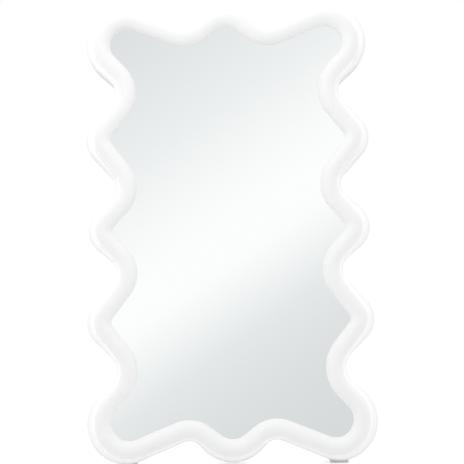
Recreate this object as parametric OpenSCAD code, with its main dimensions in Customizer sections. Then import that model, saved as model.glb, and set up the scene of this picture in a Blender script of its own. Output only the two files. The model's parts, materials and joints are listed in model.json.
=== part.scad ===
/* [Mirror opening] */
// Width of the mirror seen between the corner lobes and between the side crests
opening_w = 236; // [234:0.5:240]
// Height of the mirror seen between the top and bottom lobes
opening_h = 413; // [412:0.5:416]
// Radius of the four corner lobes
corner_r = 17.5; // [16:0.25:18]
// Radius of the upper and lower side crests
side_crest_r = 6; // [4:0.5:8]
// Height of the upper side crests above the middle
side_crest_y = 91.5; // [90:0.5:93]
// Width seen between the two crests at half height
middle_crest_w = 233; // [230:0.5:238]
// Radius of the two crests at half height
middle_crest_r = 5; // [3:0.5:7]
// Radius of the crest in the middle of the top and of the bottom
top_crest_r = 18.5; // [16:0.5:19.5]
// Width seen between the upper side troughs
upper_trough_w = 185; // [183:0.5:187]
// Height of the upper side troughs above the middle
upper_trough_y = 139.5; // [139:0.25:140]
// Radius of the upper side troughs
upper_trough_r = 39; // [36:0.5:39.5]
// Width seen between the two pairs of middle side troughs
middle_trough_w = 184; // [182:0.5:186]
// Height of the middle side troughs above the middle
middle_trough_y = 43; // [42:0.5:44]
// Radius of the middle side troughs
middle_trough_r = 36; // [33:0.5:37]
// Height seen between the top and bottom troughs
top_trough_h = 375; // [373:0.5:378]
// Distance of the top troughs from the centreline
top_trough_x = 43; // [42:0.5:46]
// Radius of the top and bottom troughs
top_trough_r = 35; // [32:0.5:36]

/* [Light bead and rim] */
// Width of the half-round light bead
bead_w = 17.5; // [16:0.25:18.5]
// Wall of the bead
bead_wall = 2; // [1.5:0.1:2.5]
// Depth of the bead's outer skirt behind the mirror face
skirt_d = 6; // [5:0.25:7]
// Width of the rim outside the bead at the troughs
rim_w = 3.5; // [3:0.25:4.5]
// Extra width of the rim at the side and corner crests
rim_push_x = 4; // [2:0.5:5]
// Extra width of the rim at the top and bottom crests
rim_push_y = 2; // [1:0.5:3]
// How far the rim lies behind the mirror face
rim_set_back = 1.5; // [0.5:0.25:3]
// Depth over which the rim's edge rounds off
rim_round = 4.5; // [3:0.5:6]
// Flat strip of the rim beside the bead
rim_flat = 1.2; // [0.8:0.1:1.8]

/* [Mirror glass] */
// Thickness of the mirror glass
glass_t = 3; // [2:0.5:4]
// How far the glass runs under the bead
glass_lap = 4.5; // [3:0.25:5]
// Thickness of the safety film on the back of the glass
film_t = 0.3; // [0.2:0.1:0.6]
// Thickness of the double-sided tape that holds the glass
tape_t = 1; // [0.6:0.1:1.6]
// Width of each strip of tape
tape_w = 25; // [15:1:35]
// Length of each strip of tape
tape_l = 320; // [250:5:340]
// Distance between the middles of the strips of tape
tape_pitch = 60; // [40:1:64]

/* [Case] */
// Depth of the rear face behind the mirror face
case_d = 24; // [23:0.25:27]
// Depth of the seam between front frame and rear cover
seam_d = 12; // [12:0.25:13]
// Width of the seam
seam_gap = 0.3; // [0.2:0.05:0.6]
// Side wall of the rear cover
side_wall = 2.5; // [2:0.25:3]
// Floor of the rear cover
floor_t = 2; // [1.6:0.1:2.4]
// Plate of the front frame behind the glass
plate_t = 2; // [1.5:0.1:2.4]
// Depth of the light channel's floor behind the mirror face
channel_d = 10; // [9.5:0.1:10]
// Thickness of the light channel's floor
channel_t = 1.8; // [1.4:0.1:1.8]
// Wall between the glass and the light channel
channel_wall = 1.5; // [1.2:0.1:2]

/* [Case screws] */
// Radius of the case screws and of the holes they cut into
screw_r = 1.25; // [1:0.05:1.5]
// Radius of the case screw heads
screw_head_r = 2.8; // [2.4:0.1:3]
// Height of the case screw heads
screw_head_h = 1.8; // [1.4:0.1:2.2]
// Radius of the screw posts on the front frame
post_r = 3.5; // [3:0.1:4]
// Radius of the screw posts on the rear cover
cover_post_r = 4.7; // [4.4:0.1:5]
// Depth at which the two rows of posts meet
post_meet_d = 18; // [17.5:0.25:18.5]
// Thickness of the web under each screw head
post_web = 2.3; // [2:0.1:2.6]
// Length of screw that bites into the front frame
screw_bite = 8; // [6:0.5:9]

/* [Light strip] */
// Width of the flexible light strip
strip_w = 8; // [5:0.5:8]
// Thickness of the light strip
strip_t = 0.4; // [0.2:0.1:0.8]
// Gap between the two ends of the strip
strip_end_gap = 3; // [1:0.5:5]
// Distance between the light-emitting diodes along the strip
led_pitch = 16.7; // [8:0.1:20]
// Length of each diode package
led_l = 3.5; // [2:0.1:5]
// Width of each diode package
led_w = 2.8; // [2:0.1:5]
// Height of each diode package
led_h = 0.8; // [0.6:0.1:1.6]

/* [Rear controls] */
// Distance of the control board's middle from the centreline
board_x = 76; // [72:0.5:78]
// Height of the control board's middle
board_y = -30; // [-34:0.5:-26]
// Width of the control board
board_w = 50; // [48:0.5:52]
// Height of the control board
board_h = 44; // [42:0.5:50]
// Thickness of the control board
board_t = 1.6; // [1:0.1:2]
// Space between the control board and the inside of the rear cover
board_lift = 5.6; // [5.4:0.1:6]
// Radius of the buttons
button_r = 5; // [4:0.1:5.2]
// How far the buttons stand out of the rear cover
button_out = 0.8; // [0.4:0.1:1.5]
// Travel of the buttons
button_travel = 0.5; // [0.3:0.05:0.5]
// Distance between the two buttons
button_pitch = 22; // [20:0.5:24]
// Width of the socket's shell
socket_w = 8.94; // [8.5:0.02:9.5]
// Height of the socket's shell
socket_h = 3.16; // [2.8:0.02:3.6]

/* [Battery] */
// Width of the battery
battery_w = 46; // [36:1:52]
// Height of the battery
battery_h = 70; // [50:1:76]
// Thickness of the battery
battery_t = 7.5; // [5:0.25:9]
// Distance of the battery's middle from the centreline
battery_x = 72; // [68:0.5:76]

/* [Stand] */
// Angle at which the mirror leans back
lean = 12; // [8:0.5:16]
// Angle between the leg and the vertical when the mirror stands
leg_angle = 10; // [8:0.5:14]
// Height of the hinge above the middle of the mirror
hinge_y = 30; // [20:1:44]
// Radius of the hinge pin
pin_r = 2; // [1.5:0.1:2.5]
// Radius of the leg's hinge knuckle
knuckle_r = 5.5; // [5:0.1:5.6]
// Distance of the hinge pin behind the bracket's plate
pin_stand_off = 6; // [6:0.1:7]
// Thickness of the bracket's plate and ears
bracket_t = 1.5; // [1.2:0.1:2]
// Width between the bracket's ears
ear_span = 54.4; // [50:0.2:58]
// Thickness of the hinge washers
washer_t = 0.5; // [0.3:0.1:0.8]
// Width of the leg at its foot
leg_end_w = 44; // [36:0.5:50]
// Thickness of the leg
leg_t = 6; // [5:0.25:7]
// Skin of the leg
leg_skin = 2.2; // [1.6:0.1:2.6]
// Width of the ribs on the inside of the leg
rib_w = 2.4; // [1.6:0.1:3]
// Number of cross ribs on the inside of the leg
cross_ribs = 4; // [2:1:7]
// Length of the heel that stops the leg
heel_l = 9; // [7:0.5:10]
// Height of the rubber foot on the leg
foot_h = 14; // [11:0.5:18]
// Rubber round the end of the leg
foot_wall = 1.5; // [1.2:0.1:2.5]

/* [Foot pads] */
// Width of the rubber pads under the mirror
pad_w = 18; // [14:1:28]
// Depth of the rubber pads from front to back
pad_d = 9; // [6:0.5:9.5]
// How far the pads hold the case above the table
pad_out = 1.5; // [1.5:0.25:3]
// How deep the pads are let into the case
pad_recess = 0.8; // [0.5:0.1:1.2]

/* [Fits] */
// Gap between parts that are glued or clamped
seat_gap = 0.2; // [0.1:0.05:0.3]
// Gap round the bead's skirt
skirt_gap = 0.3; // [0.2:0.05:0.4]
// Gap round the glass and other parts dropped into place
drop_gap = 0.5; // [0.3:0.05:0.6]
// Gap between faces that move past each other
slide_gap = 0.3; // [0.3:0.05:0.4]
// Radial running clearance of the leg on its pin
running_gap = 0.05; // [0.02:0.01:0.09]

/* [Hidden] */
$fn = 72;

// The mirror is drawn flat: x to the right, y up, z out of the mirror face at z = 0.
// The places of the crests and troughs, the board and the battery are given for an opening
// of this width and height, and spread with it.
drawn = [236, 413];
spread_x = opening_w / drawn[0];
spread_y = opening_h / drawn[1];
corner_x = opening_w / 2 - corner_r;
corner_y = opening_h / 2 - corner_r;
crest_y = side_crest_y * spread_y;
upper_x = upper_trough_w / 2 * spread_x;
upper_y = upper_trough_y * spread_y;
middle_x = middle_trough_w / 2 * spread_x;
middle_y = middle_trough_y * spread_y;
waist_x = middle_crest_w / 2 * spread_x;
top_x = top_trough_x * spread_x;
top_y = top_trough_h / 2 * spread_y;

// The arc of a trough is limited by the crests beside it, as a fillet is by its wall. The room is
// the sum of the two radii at which no straight stretch is left between the arcs, for a crest
// that rises above the trough by rise and lies run away from it, and also after the rim's push.
slack = 0.985;
function room(rise, run) = (rise * rise + run * run) / (2 * rise);
function beside(rise, run, push, r) = slack * min(room(rise, run), room(rise + push[0], run + push[1])) - r;
upper_r = min(upper_trough_r,
    beside(opening_w / 2 - upper_x, corner_y - upper_y, [rim_push_x, rim_push_y], corner_r),
    beside(opening_w / 2 - upper_x, upper_y - crest_y, [rim_push_x, 0], side_crest_r));
middle_r = min(middle_trough_r,
    beside(opening_w / 2 - middle_x, crest_y - middle_y, [rim_push_x, 0], side_crest_r),
    beside(waist_x - middle_x, middle_y, [rim_push_x, 0], middle_crest_r));
top_r = min(top_trough_r,
    beside(opening_h / 2 - top_y, corner_x - top_x, [rim_push_y, rim_push_x], corner_r),
    beside(opening_h / 2 - top_y, top_x, [rim_push_y, 0], top_crest_r));

// A lobe is [x, y, r]: r is positive for a crest and negative for a trough.
corner = [corner_x, corner_y, corner_r];
upper_trough = [upper_x + upper_r, upper_y, -upper_r];
side_crest = [opening_w / 2 - side_crest_r, crest_y, side_crest_r];
middle_trough = [middle_x + middle_r, middle_y, -middle_r];
middle_crest = [waist_x - middle_crest_r, 0, middle_crest_r];
top_trough = [top_x, top_y + top_r, -top_r];
top_crest = [0, opening_h / 2 - top_crest_r, top_crest_r];

function down(q) = [q[0], -q[1], q[2]];
function left(q) = [-q[0], q[1], q[2]];
upper_right = [middle_trough, side_crest, upper_trough, corner, top_trough];
right_side = concat([for (i = [4 : -1 : 0]) down(upper_right[i])], [middle_crest], upper_right);
lobes = concat([down(top_crest)], right_side, [top_crest],
    [for (i = [len(right_side) - 1 : -1 : 0]) left(right_side[i])]);
crests = [for (q = lobes) if (q[2] > 0) q];

// The same outline a distance d further out, and the rim's outline, whose crests are pushed out.
function grow(L, d) = [for (q = L) [q[0], q[1], q[2] + d]];
function is_side(q) = abs(q[1]) < upper_y;
function pushed(q) = q[2] < 0 ? q
    : [q[0] + rim_push_x * sign(q[0]), q[1] + (is_side(q) ? 0 : rim_push_y * sign(q[1])), q[2]];
rim_lobes = grow([for (q = lobes) pushed(q)], bead_w + rim_w);

// Angle of the outward normal on the straight stretch that joins lobe i to the next one.
function leave_angle(L, i) =
    let (a = L[i], b = L[(i + 1) % len(L)], dx = b[0] - a[0], dy = b[1] - a[1])
    atan2(dy, dx) - acos((a[2] - b[2]) / norm([dx, dy]));
function leave_angles(L) = [for (i = [0 : len(L) - 1]) leave_angle(L, i)];
function on_lobe(q, a) = [q[0] + q[2] * cos(a), q[1] + q[2] * sin(a)];

// Start angle and signed sweep of every lobe's arc.
function wrapped(d) = d - 360 * floor((d + 20) / 360);
function arcs(L) = let (m = len(L), nu = leave_angles(L))
    [for (i = [0 : m - 1]) let (a = nu[(i + m - 1) % m], s = sign(L[i][2]))
        [a, s * wrapped((nu[i] - a) * s)]];

// Flat outline of a ring of lobes: true arcs joined by common tangents, whose ends are tucked
// a little way into the arcs, so that each tangent crosses its two arcs and doesn't just touch them.
tuck = 0.02;
function tucked(q, a, d) = on_lobe([q[0], q[1], q[2] - sign(q[2]) * d], a);
module belt(L, d = tuck) {
    m = len(L);
    nu = leave_angles(L);
    difference() {
        union() {
            polygon([for (i = [0 : m - 1])
                each [tucked(L[i], nu[(i + m - 1) % m], d), tucked(L[i], nu[i], d)]]);
            for (q = L) if (q[2] > 0) translate([q[0], q[1]]) circle(r = q[2]);
        }
        for (q = L) if (q[2] < 0) translate([q[0], q[1]]) circle(r = -q[2]);
    }
}
module slab(z0, z1) { translate([0, 0, z0]) linear_extrude(z1 - z0) children(); }
module ring(outer, inner, z0, z1) {
    difference() {
        slab(z0, z1) belt(outer);
        slab(z0 - 1, z1 + 1) belt(inner);
    }
}
module rounded(w, h, r) {
    belt([[w / 2 - r, -h / 2 + r, r], [w / 2 - r, h / 2 - r, r],
        [-w / 2 + r, h / 2 - r, r], [-w / 2 + r, -h / 2 + r, r]], 0);
}

// Stations round the outline for the swept skins: [x, y, normal x, normal y].
sweep_step = 15;
stops = [for (t = arcs(lobes)) max(2, ceil(abs(t[1]) / sweep_step))];
function walk(L) = let (t = arcs(L))
    [for (i = [0 : len(L) - 1]) for (k = [0 : stops[i]])
        let (a = t[i][0] + t[i][1] * k / stops[i], p = on_lobe(L[i], a)) [p[0], p[1], cos(a), sin(a)]];
function off(w, u, z) = [w[0] + w[2] * u, w[1] + w[3] * u, z];
function mix(a, b, f) = a + (b - a) * f;
bead_walk = walk(lobes);
rim_walk = walk(rim_lobes);

// Closed skin through a loop of equal sections.
module skin(sections) {
    m = len(sections[0]);
    n = len(sections);
    polyhedron(
        points = [for (s = sections) each s],
        faces = [for (i = [0 : n - 1]) for (j = [0 : m - 1])
            let (a = i * m, b = ((i + 1) % n) * m, k = (j + 1) % m)
            each [[a + j, b + k, a + k], [a + j, b + j, b + k]]],
        convexity = 6);
}

// Depths behind the mirror face.
film_z = -glass_t - film_t;
tape_z = film_z - tape_t;
plate_z = tape_z - plate_t;
channel_z = -channel_d;
rear_z = -case_d;
floor_z = rear_z + floor_t;
cover_top_z = -seam_d - seam_gap;
bead_r = bead_w / 2;

// The light channel runs between these offsets from the edge of the opening.
channel_in = glass_lap + drop_gap;
channel_out = bead_w - bead_wall - skirt_gap;
strip_mid = (channel_in + channel_wall + channel_out) / 2;
ledge_z = -skirt_d - skirt_gap;
rim_in = bead_w + skirt_gap;

// Bead: a half-round shell with a foot on the glass and a skirt in the frame.
bead_section = concat(
    [for (a = [180 : -30 : 0]) [bead_r + bead_r * cos(a), seat_gap + bead_r * sin(a)]],
    [[bead_w, -skirt_d], [bead_w - bead_wall, -skirt_d]],
    [for (a = [0 : 45 : 180])
        [bead_r + (bead_r - bead_wall) * cos(a), seat_gap + (bead_r - bead_wall) * sin(a)]]);
module light_diffuser() {
    color("white") skin([for (w = bead_walk) [for (p = bead_section) off(w, p[0], p[1])]]);
}

// Rim: a flat strip beside the bead that rounds off to the side of the case.
function rim_section(i) =
    let (flat_end = off(bead_walk[i], rim_in + rim_flat, 0), edge = off(rim_walk[i], 0, 0))
    concat(
        [off(bead_walk[i], rim_in, -seam_d), off(bead_walk[i], rim_in, -rim_set_back)],
        [for (f = [0 : 22.5 : 90]) let (p = mix(flat_end, edge, sin(f)))
            [p[0], p[1], -rim_set_back - rim_round * (1 - cos(f))]],
        [off(rim_walk[i], 0, -seam_d)]);

// Where the strip's two ends meet, at the bottom crest, and the hole for its lead.
strip_end = [0, -opening_h / 2 - strip_mid];
lead_inset = 4.5;
lead_hole = [strip_end_gap / 2 + lead_inset, strip_end[1]];
lead_hole_r = 2.4;
ledge_bite = 0.8;
frame_floor_z = channel_z - channel_t;
pilot_end_z = -post_meet_d + screw_bite + 1;

module front_frame() {
    color("white") difference() {
        union() {
            skin([for (i = [0 : len(bead_walk) - 1]) rim_section(i)]);
            slab(plate_z, tape_z) belt(grow(lobes, channel_in + channel_wall / 2));
            ring(grow(lobes, channel_in + channel_wall), grow(lobes, channel_in), frame_floor_z, -drop_gap);
            ring(grow(lobes, rim_in + ledge_bite), grow(lobes, channel_in + channel_wall / 2),
                frame_floor_z, channel_z);
            ring(grow(lobes, rim_in + ledge_bite), grow(lobes, channel_out), frame_floor_z, ledge_z);
            for (q = crests) translate([q[0], q[1], -post_meet_d])
                cylinder(r = post_r, h = post_meet_d + tape_z - plate_t / 2);
        }
        for (q = crests) translate([q[0], q[1], -post_meet_d - 1])
            cylinder(r = screw_r, h = post_meet_d + 1 + pilot_end_z);
        translate([lead_hole[0], lead_hole[1], frame_floor_z - 1]) cylinder(r = lead_hole_r, h = 5);
    }
}

module mirror_glass() {
    color("silver") slab(-glass_t, 0) belt(grow(lobes, glass_lap));
}
module glass_film() {
    color("gray") slab(film_z, -glass_t) belt(grow(lobes, glass_lap - drop_gap));
}
module glass_tape() {
    color("dimgray") for (i = [-1 : 1]) translate([i * tape_pitch, 0, tape_z])
        slab(0, tape_t) square([tape_w, tape_l], center = true);
}

// Light strip and its diodes, spaced evenly along the middle of the channel.
strip_lobes = grow(lobes, strip_mid);
strip_arcs = arcs(strip_lobes);
strip_leave = leave_angles(strip_lobes);
function next_lobe(i) = strip_lobes[(i + 1) % len(strip_lobes)];
function arc_length(i) = abs(strip_lobes[i][2]) * abs(strip_arcs[i][1]) * PI / 180;
function straight_length(i) =
    norm(on_lobe(next_lobe(i), strip_leave[i]) - on_lobe(strip_lobes[i], strip_leave[i]));
lobe_starts = [for (i = 0, s = 0; i <= len(strip_lobes);
    s = s + (i < len(strip_lobes) ? arc_length(i) + straight_length(i) : 0), i = i + 1) s];
strip_length = lobe_starts[len(strip_lobes)];
function lobe_at(s) = len([for (a = lobe_starts) if (a <= s) 1]) - 1;
// Place and turn of a point s along the strip: [x, y, angle of the normal].
function strip_point(s) =
    let (i = lobe_at(s), t = s - lobe_starts[i], arc = arc_length(i),
        a = strip_leave[i] - strip_arcs[i][1] * max(0, 1 - t / arc),
        f = max(0, t - arc) / straight_length(i),
        p = mix(on_lobe(strip_lobes[i], a), on_lobe(next_lobe(i), a), f))
    [p[0], p[1], a];
led_count = floor(strip_length / led_pitch);
led_points = [for (k = [0 : led_count - 1]) strip_point(strip_length * (k + 0.5) / led_count)];
strip_top_z = channel_z + strip_t;

module led_strip() {
    color("ivory") difference() {
        ring(grow(lobes, strip_mid + strip_w / 2), grow(lobes, strip_mid - strip_w / 2),
            channel_z, strip_top_z);
        translate([strip_end[0] - strip_end_gap / 2, strip_end[1] - strip_w, channel_z - 1])
            cube([strip_end_gap, 2 * strip_w, strip_t + 2]);
        translate([lead_hole[0], lead_hole[1], channel_z - 1]) cylinder(r = lead_hole_r, h = strip_t + 2);
    }
}
lead_clear = lead_hole[0] + lead_hole_r + led_l / 2;
module led_chips() {
    color("gold") for (p = led_points)
        if (abs(p[0]) > lead_clear || p[1] > 0)
            translate([p[0], p[1], strip_top_z]) rotate([0, 0, p[2]])
                translate([-led_w / 2, -led_l / 2, 0]) cube([led_w, led_l, led_h]);
}

// Screw with its shank along +z from the seat at z = 0 and a crossed recess in its head.
// The recess is given as shares of the head's radius and height.
recess_reach = 0.6;
recess_half_w = 0.12;
recess_deep = 0.5;
module screw(shank_r, shank_l, head_r, head_h) {
    difference() {
        union() {
            cylinder(r = shank_r, h = shank_l);
            translate([0, 0, -head_h]) cylinder(r = head_r, h = head_h);
        }
        for (a = [0, 90]) rotate([0, 0, a])
            translate([-head_r * recess_reach, -head_r * recess_half_w, -head_h - 1])
                cube([2 * head_r * recess_reach, 2 * head_r * recess_half_w, head_h * recess_deep + 1]);
    }
}

// Rear cover.
screw_seat_z = -post_meet_d - seat_gap - post_web;
screw_l = screw_bite - screw_seat_z - post_meet_d;
board_at_x = board_x * spread_x;
button_inset = 13;
socket_inset = 11;
button_x = board_at_x + board_w / 2 - button_inset;
buttons = [[button_x, board_y + button_pitch / 2], [button_x, board_y - button_pitch / 2]];
button_hole_r = button_r + slide_gap;
socket_at = [board_at_x - board_w / 2 + socket_inset, board_y];
socket_hole = drop_gap;
board_z = floor_z + board_lift;
board_inset = 4;
board_corner_r = 2;
board_post_r = 3;
board_screw_r = 1;
board_screw_l = 5;
board_holes = [for (i = [-1, 1]) for (j = [-1, 1])
    [board_at_x + i * (board_w / 2 - board_inset), board_y + j * (board_h / 2 - board_inset)]];
bracket_rows = [14, 28];
bracket_inset = 4;
bracket_holes = [for (i = [-1, 1]) for (j = bracket_rows) [i * (ear_span / 2 - bracket_inset), hinge_y + j]];
bracket_post_r = 4;
bracket_post_h = 6.5;
bracket_screw_l = 7.5;
pad_inset = 1.2;
pad_z0 = rear_z + pad_inset;
pad_room = 18;
case_low = opening_h / 2 + bead_w + rim_w + rim_push_y;
lobe_low = [for (s = [-1, 1]) s * (corner[0] + rim_push_x)];

// Socket-shaped slot: two round ends and the box between them.
module slot(w, h) {
    square([w - h, h], center = true);
    for (s = [-1, 1]) translate([s * (w - h) / 2, 0]) circle(d = h);
}
// Block in which a foot pad sits, with room g round it.
module pad_block(x, g) {
    translate([x - pad_w / 2 - g, -case_low - pad_room, pad_z0 - g])
        cube([pad_w + 2 * g, 2 * pad_room, pad_d + 2 * g]);
}
module rear_cover() {
    color("white") difference() {
        union() {
            difference() {
                slab(rear_z, cover_top_z) belt(rim_lobes);
                slab(floor_z, 0) belt(grow(rim_lobes, -side_wall));
            }
            for (q = crests) translate([q[0], q[1], floor_z - floor_t / 2])
                cylinder(r = cover_post_r, h = -post_meet_d - seat_gap - floor_z + floor_t / 2);
            for (p = board_holes) translate([p[0], p[1], floor_z - floor_t / 2])
                cylinder(r = board_post_r, h = board_lift + floor_t / 2);
            for (p = bracket_holes) translate([p[0], p[1], floor_z - floor_t / 2])
                cylinder(r = bracket_post_r, h = bracket_post_h + floor_t / 2);
        }
        for (q = crests) translate([q[0], q[1], rear_z - 1]) {
            cylinder(r = screw_head_r + slide_gap, h = screw_seat_z - rear_z + 1);
            cylinder(r = screw_r + slide_gap, h = case_d);
        }
        for (p = board_holes) translate([p[0], p[1], board_z - board_screw_l])
            cylinder(r = board_screw_r, h = board_screw_l + 1);
        for (p = bracket_holes) translate([p[0], p[1], rear_z - 1])
            cylinder(r = screw_r, h = bracket_screw_l + 1);
        for (p = buttons) translate([p[0], p[1], rear_z - 1]) cylinder(r = button_hole_r, h = floor_t + 2);
        translate([socket_at[0], socket_at[1], 0]) slab(rear_z - 1, floor_z + 1)
            slot(socket_w + socket_hole, socket_h + socket_hole);
        for (x = lobe_low) difference() {
            pad_block(x, seat_gap / 2);
            slab(rear_z - 1, 0) belt(grow(rim_lobes, -pad_recess));
        }
    }
}
module cover_screws() {
    color("gray") for (q = crests) translate([q[0], q[1], screw_seat_z])
        screw(screw_r, screw_l, screw_head_r, screw_head_h);
}

// Standing: the mirror leans back by the lean angle and its pads meet the table at height 0.
lift = case_low * cos(lean) + case_d * sin(lean) + pad_out;
hinge_z = rear_z - bracket_t - pin_stand_off;
pin_height = hinge_y * cos(lean) + hinge_z * sin(lean) + lift;
pin_back = hinge_y * sin(lean) - hinge_z * cos(lean);
leg_open = lean + leg_angle;
leg_reach = pin_height / cos(leg_angle);
foot_half = leg_t / 2 + foot_wall;
front_most = -max([for (p = bead_section) (opening_h / 2 + p[0]) * sin(lean) + p[1] * cos(lean)]);
rear_most = pin_back + pin_height * tan(leg_angle) + foot_half / cos(leg_angle);
module stand_up() {
    translate([0, -(front_most + rear_most) / 2, lift]) rotate([90 - lean, 0, 0]) children();
}
// Everything under the table top, as far out as the opening is high, in the mirror's own frame
// and in the leg's.
module under(z) { translate([0, 0, -z - opening_h]) slab(0, opening_h) square(2 * opening_h, center = true); }
module under_table() { rotate([lean - 90, 0, 0]) under(lift); }
module under_table_from_pin() { rotate([-90 - leg_angle, 0, 0]) under(pin_height); }

module foot_pads() {
    color("dimgray") for (x = lobe_low) difference() {
        pad_block(x, 0);
        slab(rear_z - 1, 0) belt(grow(rim_lobes, -pad_recess));
        under_table();
    }
}

// Control board and what is on it. The rear side faces the rear cover.
module on_board(x, y) { translate([board_at_x + x, board_y + y, board_z]) children(); }
module control_board() {
    color("green") difference() {
        on_board(0, 0) slab(0, board_t) rounded(board_w, board_h, board_corner_r);
        for (p = board_holes) translate([p[0], p[1], board_z - 1])
            cylinder(r = board_screw_r + slide_gap, h = board_t + 2);
    }
}
board_screw_head_r = 2;
board_screw_head_h = 1.4;
module board_screws() {
    color("gray") for (p = board_holes) translate([p[0], p[1], board_z + board_t]) rotate([180, 0, 0])
        screw(board_screw_r, board_t + board_screw_l - 1, board_screw_head_r, board_screw_head_h);
}
chip_size = [5, 4, 1.6];
chip_x = -1.5;
chip_rows = [4, -3];
module driver_chips() {
    color("black") for (y = chip_rows) on_board(chip_x, y)
        translate([-chip_size[0] / 2, -chip_size[1] / 2, -chip_size[2]]) cube(chip_size);
}
inductor = [7.4, 7.4, 4];
inductor_y = 13;
inductor_corner_r = 1;
inductor_core_r = 1.2;
inductor_core_d = 0.6;
module power_inductor() {
    color("dimgray") on_board(0, inductor_y) difference() {
        slab(-inductor[2], 0) rounded(inductor[0], inductor[1], inductor_corner_r);
        translate([0, 0, -inductor[2] - 1]) cylinder(r = inductor_core_r, h = inductor_core_d + 1);
    }
}
capacitor_r = 2.5;
capacitor_h = 5;
capacitor_x = 3;
capacitor_y = -13;
module board_capacitors() {
    color("navy") for (s = [-1, 1]) on_board(s * capacitor_x, capacitor_y)
        translate([0, 0, -capacitor_h]) cylinder(r = capacitor_r, h = capacitor_h);
}

// Side-entry headers at the board's inner edge: the battery's above, the strip's below.
header = [8, 7, 5];
plug = [8, 5.2, 3.4];
plug_depth = 6;
plug_low = board_t + (header[2] - plug[2]) / 2;
header_y = [8, -8];
header_x = -board_w / 2 + 1 + header[0] / 2;
plug_gap = 0.1;
module lead_headers() {
    color("ivory") for (y = header_y) on_board(header_x, y) difference() {
        translate([-header[0] / 2, -header[1] / 2, board_t]) cube(header);
        translate([-header[0] / 2 - 1, -plug[1] / 2 - plug_gap, plug_low - plug_gap])
            cube([plug_depth + 1 + plug_gap, plug[1] + 2 * plug_gap, plug[2] + 2 * plug_gap]);
    }
}
module lead_plugs() {
    color("white") for (y = header_y)
        on_board(header_x - header[0] / 2 + plug_depth - plug[0], y)
            translate([0, -plug[1] / 2, plug_low]) cube(plug);
}

// Switches and buttons. The plunger rests on the button's inner face and moves with it.
switch = [6, 6, 3.5];
plunger_r = 1.7;
plunger_tip = 5;
plunger_gap = 0.1;
pocket_gap = 0.6;
bore_d = 2.4;
plunger_in = bore_d - button_travel - slide_gap;
flange_w = 1.4;
flange_r = button_r + flange_w;
flange_t = 1;
cap_in_z = board_z - plunger_tip;
cap_out_z = rear_z - button_out;
flange_z = floor_z + slide_gap;
module switch_bodies() {
    color("black") for (p = buttons) translate([p[0], p[1], board_z]) difference() {
        translate([-switch[0] / 2, -switch[1] / 2, -switch[2]]) cube(switch);
        translate([0, 0, -switch[2] - 1]) cylinder(r = plunger_r + plunger_gap, h = bore_d + 1);
    }
}
module plunger(p) {
    translate([p[0], p[1], cap_in_z]) cylinder(r = plunger_r, h = plunger_tip - switch[2] + plunger_in);
}
module button(p) {
    translate([p[0], p[1], 0]) {
        difference() {
            union() {
                translate([0, 0, cap_out_z]) cylinder(r = button_r, h = flange_z + flange_t / 2 - cap_out_z);
                translate([0, 0, flange_z]) cylinder(r = flange_r, h = flange_t);
            }
            translate([0, 0, cap_in_z]) cylinder(r = plunger_r + pocket_gap, h = plunger_tip);
        }
    }
}
module power_button() { color("white") button(buttons[0]); }
module tone_button() { color("white") button(buttons[1]); }
module power_plunger() { color("black") plunger(buttons[0]); }
module tone_plunger() { color("black") plunger(buttons[1]); }

// Charging socket: a steel shell round a tongue, reaching into the rear cover's slot.
shell_t = 0.3;
socket_recess = 0.6;
socket_mouth_z = rear_z + socket_recess;
tongue = [6.65, 0.7];
tongue_back = 1.2;
base_h = 1.5;
module socket_shell() {
    color("silver") translate([socket_at[0], socket_at[1], 0]) difference() {
        slab(socket_mouth_z, board_z) slot(socket_w, socket_h);
        slab(socket_mouth_z - 1, board_z + 1) slot(socket_w - 2 * shell_t, socket_h - 2 * shell_t);
    }
}
module socket_tongue() {
    color("black") translate([socket_at[0], socket_at[1], 0]) {
        slab(board_z - base_h, board_z) slot(socket_w - 2 * shell_t, socket_h - 2 * shell_t);
        slab(socket_mouth_z + tongue_back, board_z - base_h / 2) square(tongue, center = true);
    }
}

// Battery on the other side, taped to the rear cover.
battery_tape_t = 0.8;
battery_tape_inset = 4;
battery_corner_r = 3;
battery_z = floor_z + battery_tape_t;
battery_at_x = battery_x * spread_x;
module battery_pack() {
    color("royalblue") translate([-battery_at_x, board_y, 0])
        slab(battery_z, battery_z + battery_t) rounded(battery_w, battery_h, battery_corner_r);
}
module battery_tape() {
    color("dimgray") for (s = [-1, 1]) translate([-battery_at_x, board_y + s * battery_h / 4, 0])
        slab(floor_z, battery_z) square([battery_w - 2 * battery_tape_inset, battery_h / 4], center = true);
}

// Two-wire leads inside the case: an eight-sided tube swept along each wire's route.
wire_r = 0.7;
wire_pitch = 1.8;
wire_sides = 8;
wire_up = [0, 1, 2];
function unit(v) = v / norm(v);
function heading(P, i) =
    i == 0 ? unit(P[1] - P[0])
    : i == len(P) - 1 ? unit(P[i] - P[i - 1])
    : unit(unit(P[i + 1] - P[i]) + unit(P[i] - P[i - 1]));
function wire_ring(P, i) =
    let (t = heading(P, i), a = unit(cross(t, wire_up)), b = cross(t, a))
    [for (k = [0 : wire_sides - 1])
        P[i] + wire_r * (a * cos(k * 360 / wire_sides) + b * sin(k * 360 / wire_sides))];
module wire(P) {
    n = len(P);
    m = wire_sides;
    polyhedron(
        points = [for (i = [0 : n - 1]) each wire_ring(P, i)],
        faces = concat(
            [[for (k = [m - 1 : -1 : 0]) k], [for (k = [0 : m - 1]) (n - 1) * m + k]],
            [for (i = [0 : n - 2]) for (k = [0 : m - 1]) let (a = i * m, b = a + m, j = (k + 1) % m)
                each [[a + k, a + j, b + j], [a + k, b + j, b + k]]]));
}
plug_end_x = board_at_x + header_x - header[0] / 2 + plug_depth - plug[0];
plug_mid_z = board_z + board_t + header[2] / 2;
battery_end_x = -battery_at_x + battery_w / 2;
battery_mid_z = battery_z + battery_t / 2;
run_z = -14.5;
lead_straight = 6;
lead_drop = 20;
lead_bend_y = -150;
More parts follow.
